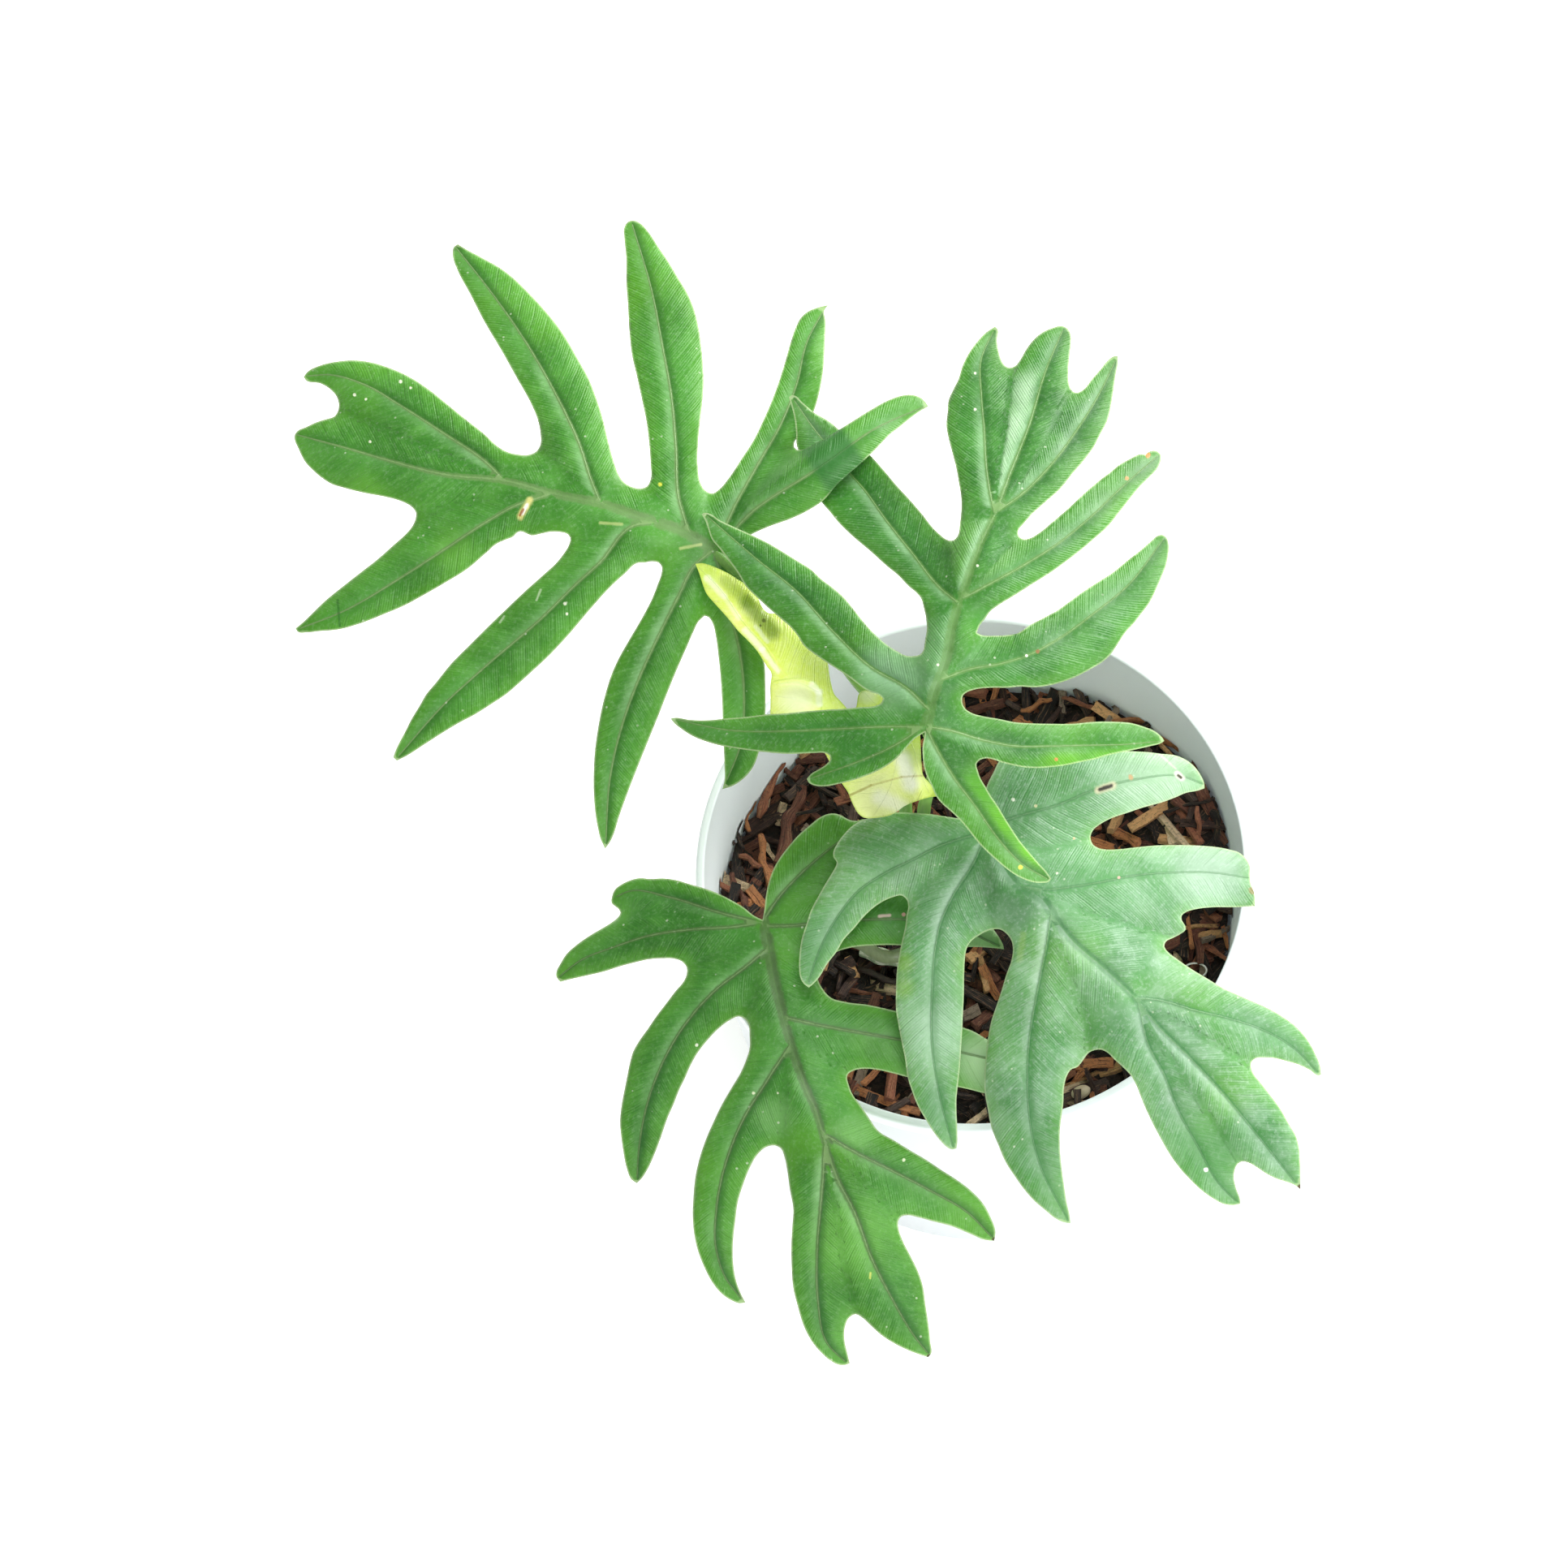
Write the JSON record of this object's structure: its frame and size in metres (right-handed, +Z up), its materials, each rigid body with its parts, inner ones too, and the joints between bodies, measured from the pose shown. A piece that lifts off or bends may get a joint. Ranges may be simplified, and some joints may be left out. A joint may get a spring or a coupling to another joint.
{
  "type": "potted philodendron mayoi",
  "caption": "Potted philodendron mayoi: deeply lobed leaves on thin stalks from a short stem, set in bark chips in a round, slightly tapered plastic pot.",
  "frame": {"origin": "centre of the pot's flat base", "axes": "+Z up; -Y towards the viewer of the picture; +X to the viewer's right"},
  "size_m": [0.225, 0.2929, 0.1976],
  "materials": {
    "pot_plastic": "white satin plastic",
    "bark": "dark, rough bark chips",
    "stem": "grey-green stem with a dark root",
    "leaf_upper_left": "satin mid-green leaf",
    "leaf_upper_right": "satin mid-green leaf with yellow-green margins",
    "leaf_lower_right": "greyish, bloomed green leaf",
    "leaf_lower_left": "satin mid-green leaf",
    "leaf_young": "glossy yellow-green young leaf"
  },
  "bodies": {
    "root": {"pot": "pot_plastic", "bark_bed": "bark", "stem": "stem", "leaf_upper_left": "leaf_upper_left", "leaf_upper_right": "leaf_upper_right", "leaf_lower_right": "leaf_lower_right", "leaf_lower_left": "leaf_lower_left", "leaf_young": "leaf_young"}
  },
  "joints": []
}
